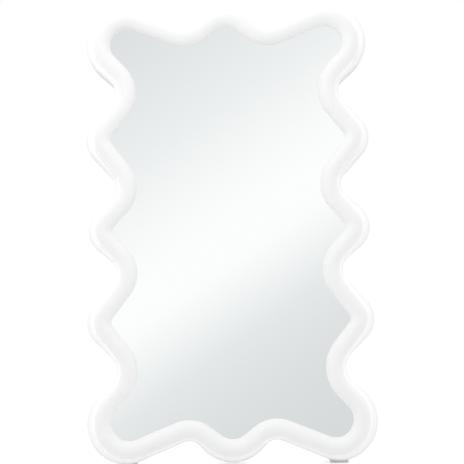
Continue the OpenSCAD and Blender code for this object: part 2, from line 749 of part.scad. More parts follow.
module battery_lead() {
    color("red") for (s = [-1, 1]) let (y = board_y + header_y[0] + s * wire_pitch / 2)
        wire([[battery_end_x, y, battery_mid_z], [battery_end_x + lead_straight, y, battery_mid_z],
            [battery_end_x + 2 * lead_straight, y, run_z], [plug_end_x - 2 * lead_straight, y, run_z],
            [plug_end_x - lead_straight, y, plug_mid_z], [plug_end_x, y, plug_mid_z]]);
}
module strip_lead() {
    color("red") for (s = [-1, 1])
        let (e = s * wire_pitch / 2, x = plug_end_x - e, y = board_y + header_y[1] + e,
            end_x = lead_hole[0] - e, end_y = lead_hole[1])
        wire([[plug_end_x, y, plug_mid_z], [x - lead_straight, y, plug_mid_z],
            [x - 2 * lead_straight, y - lead_drop, run_z], [x - 3 * lead_straight, lead_bend_y, run_z],
            [end_x + lead_straight, end_y + lead_drop, run_z], [end_x, end_y, run_z],
            [end_x, end_y, strip_top_z]]);
}

// Hinge bracket: a plate on the rear cover with two ears that hold the pin.
bracket_low = 8;
bracket_high = 34;
bracket_edge = 4;
bracket_corner_r = 4;
ear_r = 6;
ear_out = ear_span / 2 + bracket_t;
module along_x(x0, x1, r) { translate([x0, 0, 0]) rotate([0, 90, 0]) cylinder(r = r, h = x1 - x0); }
module at_pin() { translate([0, hinge_y, hinge_z]) children(); }
module hinge_bracket() {
    color("silver") difference() {
        union() {
            translate([0, hinge_y + (bracket_high - bracket_low) / 2, 0])
                slab(rear_z - bracket_t, rear_z)
                    rounded(2 * (ear_out + bracket_edge), bracket_high + bracket_low, bracket_corner_r);
            at_pin() for (x = [-ear_out, ear_span / 2]) {
                along_x(x, x + bracket_t, ear_r);
                translate([x, -ear_r, 0]) cube([bracket_t, 2 * ear_r, pin_stand_off + bracket_t / 2]);
            }
        }
        at_pin() along_x(-ear_out - 1, ear_out + 1, pin_r + running_gap / 2);
        for (p = bracket_holes) translate([p[0], p[1], rear_z - bracket_t - 1])
            cylinder(r = screw_r + slide_gap, h = bracket_t + 2);
    }
}
module bracket_screws() {
    color("gray") for (p = bracket_holes) translate([p[0], p[1], rear_z - bracket_t])
        screw(screw_r, bracket_t + bracket_screw_l - 0.5, screw_head_r, screw_head_h);
}
pin_head_r = pin_r + 1.4;
pin_head_l = 1.2;
pin_tail = 1;
clip_t = 0.6;
clip_r = pin_r + 1.6;
clip_mouth = 0.9;
groove_r = pin_r - 0.5;
groove_gap = 0.05;
clip_x = ear_out + seat_gap;
module hinge_pin() {
    color("silver") at_pin() difference() {
        union() {
            along_x(-ear_out - seat_gap, clip_x + clip_t + pin_tail, pin_r);
            along_x(-ear_out - seat_gap - pin_head_l, -ear_out - seat_gap, pin_head_r);
        }
        difference() {
            along_x(clip_x - groove_gap, clip_x + clip_t + groove_gap, pin_r + 1);
            along_x(clip_x - 1, clip_x + clip_t + 1, groove_r);
        }
    }
}
module pin_clip() {
    color("gray") at_pin() difference() {
        along_x(clip_x, clip_x + clip_t, clip_r);
        along_x(clip_x - 1, clip_x + clip_t + 1, groove_r);
        translate([clip_x - 1, -groove_r * clip_mouth, -clip_r - 1])
            cube([clip_t + 2, 2 * groove_r * clip_mouth, clip_r + 1]);
    }
}
washer_gap = 0.15;
washer_bore_gap = 0.1;
washer_r = knuckle_r - 0.3;
module hinge_washers() {
    color("white") at_pin() for (s = [0, 1]) mirror([s, 0, 0]) difference() {
        along_x(ear_span / 2 - washer_gap - washer_t, ear_span / 2 - washer_gap, washer_r);
        along_x(0, ear_span, pin_r + washer_bore_gap);
    }
}

// Leg: a skin with ribs behind it, a knuckle on the pin and a heel that stops it on the bracket.
knuckle_w = ear_span - 2 * (washer_t + 2 * washer_gap);
foot_cushion = 4;
leg_tip = leg_reach - foot_cushion;
leg_corner_r = 3;
leg_outline = [[leg_end_w / 2 - leg_corner_r, -leg_tip + leg_corner_r, leg_corner_r],
    [knuckle_w / 2 - leg_corner_r, 0, leg_corner_r],
    [-knuckle_w / 2 + leg_corner_r, 0, leg_corner_r],
    [-leg_end_w / 2 + leg_corner_r, -leg_tip + leg_corner_r, leg_corner_r]];
tip_solid = foot_h;
module leg_blank(grown = 0) { slab(-leg_t / 2 - grown, leg_t / 2 + grown) belt(grow(leg_outline, grown)); }
module leg_hollows() {
    bay = (leg_tip - tip_solid - knuckle_r) / cross_ribs;
    for (i = [0 : cross_ribs - 1]) intersection() {
        slab(-leg_t / 2 + leg_skin, leg_t) belt(grow(leg_outline, -rib_w));
        translate([-ear_span, -knuckle_r - (i + 1) * bay, -leg_t])
            cube([2 * ear_span, bay - rib_w, 3 * leg_t]);
    }
}
module stand_leg() {
    color("white") at_pin() difference() {
        union() {
            rotate([leg_open, 0, 0]) difference() {
                leg_blank();
                leg_hollows();
            }
            along_x(-knuckle_w / 2, knuckle_w / 2, knuckle_r);
            translate([-knuckle_w / 2, 0, 0]) cube([knuckle_w, heel_l, pin_stand_off - slide_gap]);
        }
        along_x(-knuckle_w, knuckle_w, pin_r + running_gap);
    }
}
module leg_foot() {
    color("dimgray") at_pin() rotate([leg_open, 0, 0]) difference() {
        translate([-leg_end_w / 2 - foot_wall, -leg_reach - foot_half, -foot_half])
            cube([leg_end_w + 2 * foot_wall, foot_h + foot_half, 2 * foot_half]);
        leg_blank(seat_gap / 2);
        under_table_from_pin();
    }
}

stand_up() front_frame();
stand_up() light_diffuser();
stand_up() mirror_glass();
stand_up() glass_film();
stand_up() glass_tape();
stand_up() led_strip();
stand_up() led_chips();
stand_up() strip_lead();
stand_up() rear_cover();
stand_up() cover_screws();
stand_up() foot_pads();
stand_up() control_board();
stand_up() board_screws();
stand_up() driver_chips();
stand_up() power_inductor();
stand_up() board_capacitors();
stand_up() lead_headers();
stand_up() lead_plugs();
stand_up() switch_bodies();
stand_up() socket_shell();
stand_up() socket_tongue();
stand_up() battery_pack();
stand_up() battery_tape();
stand_up() battery_lead();
stand_up() power_button();
stand_up() power_plunger();
stand_up() tone_button();
stand_up() tone_plunger();
stand_up() hinge_bracket();
stand_up() bracket_screws();
stand_up() hinge_pin();
stand_up() pin_clip();
stand_up() hinge_washers();
stand_up() stand_leg();
stand_up() leg_foot();
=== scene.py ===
"""Looks of a lighted makeup mirror: a wavy opal bead round the glass, a white case and a prop leg.

Lengths of the object are in millimetres on the mirror's own plate, x to the right, y up and z out of the
mirror face, and are carried into the frame, in metres, by on_plate().
"""
import json

import bmesh
import bpy
import numpy as np
from mathutils import Matrix, Vector


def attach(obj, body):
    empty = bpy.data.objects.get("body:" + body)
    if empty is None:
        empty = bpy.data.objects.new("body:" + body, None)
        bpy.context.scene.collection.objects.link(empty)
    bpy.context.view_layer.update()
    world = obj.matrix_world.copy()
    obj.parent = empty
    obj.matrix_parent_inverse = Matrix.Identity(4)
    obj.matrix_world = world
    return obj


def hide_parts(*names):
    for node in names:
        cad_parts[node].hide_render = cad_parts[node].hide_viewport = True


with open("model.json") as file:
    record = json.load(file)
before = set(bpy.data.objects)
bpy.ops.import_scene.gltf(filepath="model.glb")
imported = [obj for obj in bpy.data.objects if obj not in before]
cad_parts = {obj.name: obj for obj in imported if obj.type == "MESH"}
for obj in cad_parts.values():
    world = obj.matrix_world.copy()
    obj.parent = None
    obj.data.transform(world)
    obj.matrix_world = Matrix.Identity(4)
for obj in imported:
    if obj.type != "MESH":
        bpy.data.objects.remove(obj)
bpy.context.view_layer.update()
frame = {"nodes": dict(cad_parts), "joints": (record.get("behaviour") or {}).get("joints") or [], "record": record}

# Sizes of the mirror as the CAD has them, in millimetres, with its two angles
OPENING_W, OPENING_H = 236.0, 413.0
CORNER_R = 17.5
SIDE_CREST_R, SIDE_CREST_Y = 6.0, 91.5
MIDDLE_CREST_R, MIDDLE_CREST_W = 5.0, 233.0
TOP_CREST_R = 18.5
UPPER_TROUGH_R, UPPER_TROUGH_W, UPPER_TROUGH_Y = 39.0, 185.0, 139.5
MIDDLE_TROUGH_R, MIDDLE_TROUGH_W, MIDDLE_TROUGH_Y = 36.0, 184.0, 43.0
TOP_TROUGH_R, TOP_TROUGH_H, TOP_TROUGH_X = 35.0, 375.0, 43.0
BEAD_W, BEAD_WALL, SKIRT_D = 17.5, 2.0, 6.0
RIM_W, RIM_PUSH_X, RIM_PUSH_Y = 3.5, 4.0, 2.0
RIM_SET_BACK, RIM_ROUND, RIM_FLAT = 1.5, 4.5, 1.2
SEAT_GAP, SKIRT_GAP, DROP_GAP = 0.2, 0.3, 0.5
GLASS_LAP, TAPE_Z, PLATE_T = 4.5, -4.3, 2.0
CASE_D, SEAM_D, SEAM_GAP = 24.0, 12.0, 0.3
CHANNEL_D, CHANNEL_T, CHANNEL_WALL = 10.0, 1.8, 1.5
POST_R, POST_MEET_D = 3.5, 18.0
PAD_W = 18.0
LEAN, LEG_ANGLE = np.radians(12.0), np.radians(10.0)
BRACKET_T, PIN_OUT = 1.5, 6.0
HINGE_Y, HINGE_Z = 30.0, -CASE_D - BRACKET_T - PIN_OUT
LEG_HALF_W, LEG_HALF_T, FOOT_WALL, FOOT_H = 22.0, 3.0, 1.5, 14.0
BUTTON_R, BUTTON_OUT, FLANGE_R, FLANGE_Z, FLANGE_T = 5.0, 0.8, 6.4, -21.7, 1.0
POCKET_R, POCKET_Z = 2.3, -21.4
BUTTON_X, BUTTON_Y = 88.0, {"power_button": -19.0, "tone_button": -41.0}
MARK_R, MARK_SOFT = {"power_button": 0.0, "tone_button": 1.6}, {"power_button": 0.8, "tone_button": 0.35}

SLOTS = {part["node"]: part["material_slot"] for part in frame["record"]["subparts"]}
BODY_OF = {node: body for body, nodes in frame["record"]["behaviour"]["bodies"].items() for node in nodes}


def joint_place(name):
    """Place of a joint in the frame, in millimetres."""
    found = [j for j in frame["joints"] if j["name"] == name][0]
    return 1000 * np.array(found["pos_m"])


HINGE = joint_place("leg_hinge")
SHIFT = HINGE[1] - HINGE_Y * np.sin(LEAN) + HINGE_Z * np.cos(LEAN)
LIFT = HINGE[2] - HINGE_Y * np.cos(LEAN) - HINGE_Z * np.sin(LEAN)


def on_plate(x, y, z):
    """Plate point (x, y, z) in millimetres to the frame in metres: lean back by LEAN about the x axis."""
    x, y, z = np.broadcast_arrays(x, y, z)
    world = [x, y * np.sin(LEAN) - z * np.cos(LEAN) + SHIFT, y * np.cos(LEAN) + z * np.sin(LEAN) + LIFT]
    return np.stack(world, -1) / 1000


def from_frame(points):
    """Frame points in metres back to plate points in millimetres, the inverse of on_plate()."""
    x, back, up = (1000 * points - [0.0, SHIFT, LIFT]).T
    return x, back * np.sin(LEAN) + up * np.cos(LEAN), up * np.sin(LEAN) - back * np.cos(LEAN)


def on_leg(x, s, t):
    """Leg point to the frame in metres: x across, s down the leg from its pin, and t out of its rear face."""
    x, s, t = np.broadcast_arrays(x, s, t)
    back = HINGE[1] + s * np.sin(LEG_ANGLE) + t * np.cos(LEG_ANGLE)
    up = HINGE[2] - s * np.cos(LEG_ANGLE) + t * np.sin(LEG_ANGLE)
    return np.stack([x, back, up], -1) / 1000


# The wavy outline


def down(q):
    """The lobe mirrored to the lower half."""
    return [q[0], -q[1], q[2]]


def left(q):
    """The lobe mirrored to the left half."""
    return [-q[0], q[1], q[2]]


def wavy_lobes():
    """Lobes [x, y, r] round the opening, anticlockwise: r is positive for a crest, negative for a trough."""
    corner = [OPENING_W / 2 - CORNER_R, OPENING_H / 2 - CORNER_R, CORNER_R]
    upper = [UPPER_TROUGH_W / 2 + UPPER_TROUGH_R, UPPER_TROUGH_Y, -UPPER_TROUGH_R]
    crest = [OPENING_W / 2 - SIDE_CREST_R, SIDE_CREST_Y, SIDE_CREST_R]
    middle = [MIDDLE_TROUGH_W / 2 + MIDDLE_TROUGH_R, MIDDLE_TROUGH_Y, -MIDDLE_TROUGH_R]
    waist = [MIDDLE_CREST_W / 2 - MIDDLE_CREST_R, 0.0, MIDDLE_CREST_R]
    top = [TOP_TROUGH_X, TOP_TROUGH_H / 2 + TOP_TROUGH_R, -TOP_TROUGH_R]
    peak = [0.0, OPENING_H / 2 - TOP_CREST_R, TOP_CREST_R]
    upper_right = [middle, crest, upper, corner, top]
    right = [down(q) for q in upper_right[::-1]] + [waist] + upper_right
    return np.array([down(peak)] + right + [peak] + [left(q) for q in right[::-1]])


LOBES = wavy_lobes()
CRESTS = LOBES[LOBES[:, 2] > 0]


def grown(lobes, distance):
    """The same outline a distance further out: every signed radius grows by it."""
    return lobes + [0.0, 0.0, distance]


def pushed(lobes):
    """The rim's outline: crests move outwards, sideways everywhere and up or down at the top and bottom."""
    crest = lobes[:, 2] > 0
    side = np.abs(lobes[:, 1]) < UPPER_TROUGH_Y
    out = lobes.copy()
    out[:, 0] += np.where(crest, RIM_PUSH_X * np.sign(lobes[:, 0]), 0)
    out[:, 1] += np.where(crest & ~side, RIM_PUSH_Y * np.sign(lobes[:, 1]), 0)
    return grown(out, BEAD_W + RIM_W)


def tangent_angles(lobes):
    """Angle of the outward normal on the straight from each lobe to the next:
    atan2 of the step between centres, less acos((r0 - r1) / distance)."""
    step = np.roll(lobes, -1, 0) - lobes
    distance = np.hypot(step[:, 0], step[:, 1])
    return np.arctan2(step[:, 1], step[:, 0]) - np.arccos(-step[:, 2] / distance)


def arcs(lobes):
    """Start angle and signed sweep of each lobe's arc, the sweep having the sign of its radius."""
    leave = tangent_angles(lobes)
    start = np.roll(leave, 1)
    sign = np.sign(lobes[:, 2])
    turn = (leave - start) * sign
    slack = np.radians(20)
    return start, sign * (turn - 2 * np.pi * np.floor((turn + slack) / (2 * np.pi)))


def stops(lobes, spacing):
    """Number of stations on each arc, about spacing apart on the wider of two outlines."""
    sweep = np.abs(arcs(lobes)[1])
    reach = np.abs(lobes[:, 2]) + BEAD_W
    fewest = 3
    return np.maximum(fewest, np.ceil(sweep * reach / spacing)).astype(int)


def walk(lobes, counts):
    """Stations along the outline, as rows [x, y, normal x, normal y], evenly spaced in angle on each arc."""
    start, sweep = arcs(lobes)
    which = np.repeat(np.arange(len(lobes)), counts + 1)
    share = np.concatenate([np.linspace(0, 1, n + 1) for n in counts])
    angle = start[which] + sweep[which] * share
    normal = np.stack([np.cos(angle), np.sin(angle)], -1)
    return np.hstack([lobes[which, :2] + lobes[which, 2:] * normal, normal])


STATION = 1.6
COUNTS = stops(LOBES, STATION)
BEAD_WALK = walk(LOBES, COUNTS)
RIM_WALK = walk(pushed(LOBES), COUNTS)


def off(stations, u):
    """Points u outside the outline: station + u * normal, for a column of stations and a row of offsets."""
    return stations[:, None, :2] + stations[:, None, 2:] * np.asarray(u, float)[None, :, None]


def quarter(n):
    """n + 1 angles from 0 to a right angle."""
    return np.linspace(0, np.pi / 2, n + 1)


# Meshes. Faces come in blocks, each an array with a row of point numbers for every face


def loop_faces(rows, columns):
    """Quads of a grid that closes on itself both ways: row i, column j joins i + 1 and j + 1, wrapped."""
    i, j = np.meshgrid(np.arange(rows), np.arange(columns), indexing="ij")
    a, b = i * columns + j, (i + 1) % rows * columns + j
    k = (j + 1) % columns - j
    return [np.stack([a, a + k, b + k, b], -1).reshape(-1, 4)]


def capped_faces(rows, columns):
    """Quads between successive closed rows, with one face over the first row and one over the last."""
    quads = loop_faces(rows, columns)[0][:(rows - 1) * columns]
    first = np.arange(columns)[None]
    return [quads, first[:, ::-1], first + (rows - 1) * columns]


def joined(solids):
    """Several solids (points, faces) as one, each one's point numbers moved past the points before it."""
    starts = np.cumsum([0] + [len(points) for points, _ in solids])
    faces = [block + start for start, (_, blocks) in zip(starts, solids) for block in blocks]
    return np.concatenate([points for points, _ in solids]), faces


def shown(name, mesh, body, slot):
    """A mesh as a piece that rides on a body and takes the finish of a slot."""
    mesh.polygons.foreach_set("use_smooth", [True] * len(mesh.polygons))
    piece = bpy.data.objects.new(name, mesh)
    bpy.context.scene.collection.objects.link(piece)
    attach(piece, body)
    dress(piece, slot)
    return piece


def new_piece(name, points, faces, node, sharp_above=35.0):
    """A piece of points in metres and faces that stands for a node, smooth but at edges that turn by more
    than an angle in degrees."""
    mesh = bpy.data.meshes.new(name)
    mesh.from_pydata(points.reshape(-1, 3).tolist(), [], sum([block.tolist() for block in faces], []))
    piece = shown(name, mesh, BODY_OF[node], SLOTS[node])
    mesh.set_sharp_from_angle(angle=np.radians(sharp_above))
    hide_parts(node)
    return piece


def keep_emission_shares(piece, shares):
    """Keeps each point's emission share, partly glow and partly painted light, as a point attribute; points past
    the list have none."""
    values = np.zeros(len(piece.data.vertices))
    values[:len(shares)] = shares
    glow_and_painted_light = piece.data.attributes.new("glow_and_painted_light", "FLOAT", "POINT")
    glow_and_painted_light.data.foreach_set("value", values)


def slab(loop, low, high):
    """Solid between two depths inside a flat loop of points [x, y]."""
    depth = np.array([low, high])[:, None]
    points = on_plate(loop[None, :, 0], loop[None, :, 1], depth).reshape(-1, 3)
    return points, capped_faces(2, len(loop))


def circle(x, y, r, n=24):
    """Loop of n points round a circle."""
    turn = np.arange(n) * 2 * np.pi / n
    return np.stack([x + r * np.cos(turn), y + r * np.sin(turn)], -1)


# Pieces worked out here


def bead_section():
    """Section of the bead, [offset, z]: a half circle outside, down the skirt, and a half circle back
    inside."""
    r = BEAD_W / 2
    outer_step, inner_step, ease = 6, 9, 0.4
    outer = np.radians(np.arange(180, -1, -outer_step))
    inner = np.radians(np.arange(0, 181, inner_step))
    skirt = [[BEAD_W, ease - SKIRT_D], [BEAD_W - ease, -SKIRT_D], [BEAD_W - BEAD_WALL, -SKIRT_D]]
    arch = np.stack([r + r * np.cos(outer), SEAT_GAP + r * np.sin(outer)], -1)
    hollow = np.stack([r + (r - BEAD_WALL) * np.cos(inner), SEAT_GAP + (r - BEAD_WALL) * np.sin(inner)], -1)
    return np.vstack([arch, skirt, hollow])


def opal_bead():
    """The light bead: bead_section() carried along the outline of the opening. A point attribute holds each
    point's emission share: 1 behind the mirror face, beside the light strip, then (1 - z / top)**fade up the
    outer side, and faint * (1 - (z / top)**2) on the inner side, beside the glass. The emission is partly the
    lit diffuser's own glow and partly painted light: it brightens the shaded outer slope and inner side and
    paints a bright line where the bead meets the rim."""
    section = bead_section()
    flat = off(BEAD_WALK, section[:, 0])
    points = on_plate(flat[..., 0], flat[..., 1], section[None, :, 1])
    bead = new_piece("opal_bead", points, loop_faces(len(flat), len(section)), "light_diffuser")
    faint, fade, top = 0.28, 1.15, SEAT_GAP + BEAD_W / 2
    u, z = section.T
    outer_side = np.clip(1 - z / top, 0, 1) ** fade
    inner_side = faint * np.clip(1 - (z / top) ** 2, 0, 1)
    # These shares are partly the diffuser's glow and partly painted light on its shaded faces and at its foot.
    keep_emission_shares(bead, np.tile(np.where(u > BEAD_W / 2, outer_side, inner_side), len(flat)))


def frame_ring():
    """The front frame's ring as one section carried round: channel wall, channel floor, ledge, and the rim,
    whose edge goes from the bead's outline to the rim's along a quarter of an ellipse RIM_ROUND deep. The rim
    beside the bead gets painted light, as if the bead lit it, filling the shade between them: its emission
    share is 1 on the flat of the rim and cos(turn) round its edge."""
    floor_z = -CHANNEL_D - CHANNEL_T
    channel_in = GLASS_LAP + DROP_GAP
    channel_out = BEAD_W - BEAD_WALL - SKIRT_GAP
    rim_in = BEAD_W + SKIRT_GAP
    lip, ease, edge_steps = 0.25, 0.4, 12
    inner = np.array([
        [channel_in, floor_z], [channel_in, -DROP_GAP], [channel_in + CHANNEL_WALL, -DROP_GAP],
        [channel_in + CHANNEL_WALL, -CHANNEL_D], [channel_out, -CHANNEL_D],
        [channel_out, -SKIRT_D - SKIRT_GAP], [rim_in, -SKIRT_D - SKIRT_GAP],
        [rim_in, -RIM_SET_BACK - lip], [rim_in + lip, -RIM_SET_BACK]])
    flat = off(BEAD_WALK, inner[:, 0])
    turn = quarter(edge_steps)
    share = np.sin(turn)[None, :, None]
    rounded = off(BEAD_WALK, [rim_in + RIM_FLAT]) * (1 - share) + off(RIM_WALK, [0.0]) * share
    ring = np.concatenate([flat, rounded, off(RIM_WALK, [0.0, -ease]), off(BEAD_WALK, [rim_in])], 1)
    depth = np.concatenate([inner[:, 1], -RIM_SET_BACK - RIM_ROUND * (1 - np.cos(turn)),
                            [ease - SEAM_D, -SEAM_D, -SEAM_D]])
    points = on_plate(ring[..., 0], ring[..., 1], depth[None, :])
    # Painted light: the rim's flat and its edge beside the bead get emission shares that fill the shade there.
    painted_light_beside_bead, behind_rim = np.ones(2), np.zeros(3)
    glow_and_painted_light = np.concatenate([np.zeros(len(inner) - 2), painted_light_beside_bead, np.cos(turn), behind_rim])
    return points.reshape(-1, 3), loop_faces(*ring.shape[:2]), np.tile(glow_and_painted_light, len(ring))


def front_moulding():
    """The moulded front frame: its ring, the plate that carries the glass, and a screw post at each crest."""
    edge = off(BEAD_WALK, [GLASS_LAP + DROP_GAP + CHANNEL_WALL / 2])[:, 0]
    plate = slab(edge, TAPE_Z - PLATE_T, TAPE_Z)
    posts = [slab(circle(x, y, POST_R), -POST_MEET_D, TAPE_Z - PLATE_T / 2) for x, y, _ in CRESTS]
    *ring, glow_and_painted_light = frame_ring()
    # The ring's emission shares give the rim painted light beside the bead.
    keep_emission_shares(new_piece("front_moulding", *joined([ring, plate] + posts), "front_frame"), glow_and_painted_light)


def turned(profile, place, n=48):
    """Solid of revolution about z at a plate place: every [r, z] of the profile becomes a ring of n points,
    and the two ends, close to the axis, are each closed by a face."""
    profile = np.asarray(profile, float)
    turn = np.arange(n) * 2 * np.pi / n
    x = place[0] + profile[:, :1] * np.cos(turn)
    y = place[1] + profile[:, :1] * np.sin(turn)
    return on_plate(x, y, profile[:, 1:]).reshape(-1, 3), capped_faces(len(profile), n)


def button(node):
    """A button cap with a rounded edge round a shallow dish, a flange, and a pocket for its plunger. The
    dish's depth at radius r is dish * (1 - (r / rim)**2), less a raised mark to feel for, a dot on one
    button and a ring on the other: raised * exp(-((r - ring) / soft)**4)."""
    face_z, dish, edge = -CASE_D - BUTTON_OUT, 0.4, 0.5
    raised, soft, ring = 0.3, MARK_SOFT[node], MARK_R[node]
    rim, centre = BUTTON_R - edge, 0.05
    stations, edge_steps = 46, 6
    r = np.linspace(centre, rim, stations)
    mark = raised * np.exp(-((r - ring) / soft) ** 4)
    cap = np.stack([r, face_z + dish * (1 - (r / rim) ** 2) - mark], -1)
    turn = quarter(edge_steps)[1:]
    eased_edge = np.stack([rim + edge * np.sin(turn), face_z + edge * (1 - np.cos(turn))], -1)
    back = [[BUTTON_R, FLANGE_Z], [FLANGE_R, FLANGE_Z], [FLANGE_R, FLANGE_Z + FLANGE_T],
            [POCKET_R, FLANGE_Z + FLANGE_T], [POCKET_R, POCKET_Z], [centre, POCKET_Z]]
    profile = np.vstack([cap, eased_edge, back])
    new_piece(node + "_cap", *turned(profile, (BUTTON_X, BUTTON_Y[node])), node)


def grip_foot():
    """The rubber foot on the leg: a rounded rectangle swept down the leg to the table, with a soft lip,
    shallow grooves round it and an eased sole. A row's place v goes from 0 at the foot's top to 1 at the
    table, and a groove's depth is deep * exp(-((v - middle) / wide)**2)."""
    half_w, half_t = LEG_HALF_W + FOOT_WALL, LEG_HALF_T + FOOT_WALL
    corner, least_corner, steps, groove_rows = 2.4, 0.4, 6, 60
    top = HINGE[2] / np.cos(LEG_ANGLE) - FOOT_H
    soft, seat, seat_depth, sole_ease, sole_start = 0.9, 1.9, 1.0, 0.5, 0.96
    turn = quarter(steps)
    lip = np.stack([soft * (1 - np.sin(turn)), soft * (1 - np.cos(turn)) / FOOT_H], -1)
    v = np.linspace(lip[-1, 1], sole_start, groove_rows)[1:]
    middles, deep, wide = np.array([0.30, 0.45, 0.60, 0.75]), 0.55, 0.035
    groove = deep * np.exp(-((v[:, None] - middles) / wide) ** 2).sum(1)
    hidden = [[seat, seat_depth / FOOT_H], [seat, 0.0]]
    rows = np.vstack([hidden, lip, np.stack([groove, v], -1), [[sole_ease, 1.0]]])[::-1]
    inset, depth = rows[:, :1], rows[:, 1:]
    radius = np.maximum(corner - inset, least_corner)
    angle = np.concatenate([turn + k * np.pi / 2 for k in range(4)])
    sign_x = np.repeat([1, -1, -1, 1], steps + 1)
    sign_t = np.repeat([1, 1, -1, -1], steps + 1)
    x = sign_x * (half_w - inset - radius) + radius * np.cos(angle)
    t = sign_t * (half_t - inset - radius) + radius * np.sin(angle)
    length = FOOT_H + t * np.tan(LEG_ANGLE)
    points = on_leg(x, top + depth * length, t)
    new_piece("grip_foot", points, capped_faces(*points.shape[:2]), "leg_foot")


# Pieces that round off the sharp edges of a node


def merged_copy(node, near=2e-6):
    """A copy of a node's mesh with points that are near made one and each flat region made one face."""
    flat_within = np.radians(0.5)
    shell = bmesh.new()
    shell.from_mesh(frame["nodes"][node].data)
    bmesh.ops.remove_doubles(shell, verts=shell.verts, dist=near)
    bmesh.ops.dissolve_limit(shell, angle_limit=flat_within, verts=shell.verts, edges=shell.edges)
    mesh = bpy.data.meshes.new(node)
    shell.to_mesh(mesh)
    shell.free()
    mesh.materials.clear()
    return mesh


def rounded(piece, width, segments):
    """Rounds a piece's edges to a width in millimetres and keeps its flat faces flat to the light."""
    bevel = piece.modifiers.new("rounded_edges", "BEVEL")
    bevel.width = width / 1000
    bevel.segments = segments
    bevel.loop_slide = False
    flat = piece.modifiers.new("flat_faces", "WEIGHTED_NORMAL")
    flat.keep_sharp = False
    return bevel


def eased(node, name, width):
    """A node's shape with its sharp edges rounded to a width in millimetres."""
    segments, sharp = 3, np.radians(40)
    piece = shown(name, merged_copy(node), BODY_OF[node], SLOTS[node])
    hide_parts(node)
    bevel = rounded(piece, width, segments)
    bevel.limit_method = "ANGLE"
    bevel.angle_limit = sharp


def weighted(node, name, width, segments, mesh, weights):
    """A node's shape with each edge rounded to its own share of a width in millimetres."""
    shares = mesh.attributes.new("bevel_weight_edge", "FLOAT", "EDGE")
    shares.data.foreach_set("value", weights)
    piece = shown(name, mesh, BODY_OF[node], SLOTS[node])
    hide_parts(node)
    bevel = rounded(piece, width, segments)
    bevel.limit_method = "WEIGHT"
    bevel.use_clamp_overlap = False


def numbers(items, name, kind, width=1):
    """One property of many mesh items as an array."""
    values = np.zeros(len(items) * width, kind)
    items.foreach_get(name, values)
    return values.reshape(-1, width) if width > 1 else values


def edge_turns(mesh):
    """Angle in degrees between the two faces of each edge: twice the arccosine of half the length of the
    sum of their normals."""
    edge = numbers(mesh.loops, "edge_index", np.int32)
    face = np.repeat(np.arange(len(mesh.polygons)), numbers(mesh.polygons, "loop_total", np.int32))
    total = np.zeros((len(mesh.edges), 3))
    np.add.at(total, edge, numbers(mesh.polygons, "normal", np.float32, 3)[face])
    return 2 * np.degrees(np.arccos(np.clip(np.linalg.norm(total, axis=1) / 2, 0, 1)))


def ribbed_leg():
    """The prop leg with its long edges, ribs, heel and knuckle ends rounded. Edges shorter than the least
    length, where the knuckle runs into the leg, stay as they are."""
    near, least, sharp_degrees = 3e-5, 0.35, 60
    width, segments = 0.6, 3
    mesh = merged_copy("stand_leg", near)
    place = 1000 * numbers(mesh.vertices, "co", np.float32, 3).astype(float)
    a, b = numbers(mesh.edges, "vertices", np.int32, 2).T
    length = np.linalg.norm(place[a] - place[b], axis=1)
    weights = (edge_turns(mesh) > sharp_degrees) * (length > least) * 1.0
    weighted("stand_leg", "ribbed_leg", width, segments, mesh, weights)


def rear_edge_weights(mesh):
    """Share of the full rounding on each edge of the rear cover. Its rear outer edge takes all of it, less
    towards the foot pads, whose recess is close to it. The other edges of the rear face and of the seam take
    a little, and the inside none. The outer edge is where a rear point has a seam point straight above it:
    both have the same x and y, to a tenth of a millimetre."""
    slack, sharp_degrees = 0.01, 40
    little, least, fade_length = 0.12, 0.28, 24.0
    low, far = -0.45 * OPENING_H, 99.0
    x, y, z = from_frame(numbers(mesh.vertices, "co", np.float32, 3).astype(float))
    rear, seam = np.abs(z + CASE_D) < slack, np.abs(z + SEAM_D + SEAM_GAP) < slack
    key = np.round(x, 1) * 1000 + np.round(y, 1)
    outer = rear & np.isin(key, key[seam])
    pad_x = OPENING_W / 2 - CORNER_R + RIM_PUSH_X
    from_pad = np.where(y < low, np.abs(np.abs(x) - pad_x) - PAD_W / 2, far)
    a, b = numbers(mesh.edges, "vertices", np.int32, 2).T
    full = np.clip(np.minimum(from_pad[a], from_pad[b]) / fade_length, least, 1)
    weight = np.where(outer[a] & outer[b], full, little)
    weight[~((rear[a] & rear[b]) | (seam[a] & seam[b]))] = 0
    weight[edge_turns(mesh) < sharp_degrees] = 0
    return weight


def rear_shell():
    """The rear cover with its rear outer edge well rounded and its other outside edges eased."""
    width, segments = 3.0, 5
    mesh = merged_copy("rear_cover")
    weighted("rear_cover", "rear_shell", width, segments, mesh, rear_edge_weights(mesh))


# Nodes that only need their sharp edges rounded: the piece's name and the width in millimetres
EASED = {
    "foot_pads": ("soft_pads", 0.5), "cover_screws": ("case_screws", 0.2),
    "hinge_bracket": ("bent_bracket", 0.3), "bracket_screws": ("plate_screws", 0.2),
    "hinge_pin": ("steel_pin", 0.2), "pin_clip": ("spring_clip", 0.1),
    "hinge_washers": ("nylon_washers", 0.1),
    "socket_shell": ("socket_sleeve", 0.08), "socket_tongue": ("socket_blade", 0.08),
    "battery_pack": ("pouch_cell", 0.8), "driver_chips": ("moulded_chips", 0.15),
    "power_inductor": ("wound_inductor", 0.2), "board_capacitors": ("can_capacitors", 0.2),
    "lead_headers": ("ivory_headers", 0.15), "lead_plugs": ("ivory_plugs", 0.15),
    "switch_bodies": ("push_switches", 0.15), "power_plunger": ("power_stem", 0.15),
    "tone_plunger": ("tone_stem", 0.15), "board_screws": ("small_screws", 0.15),
    "control_board": ("routed_board", 0.1),
}


# Shader building


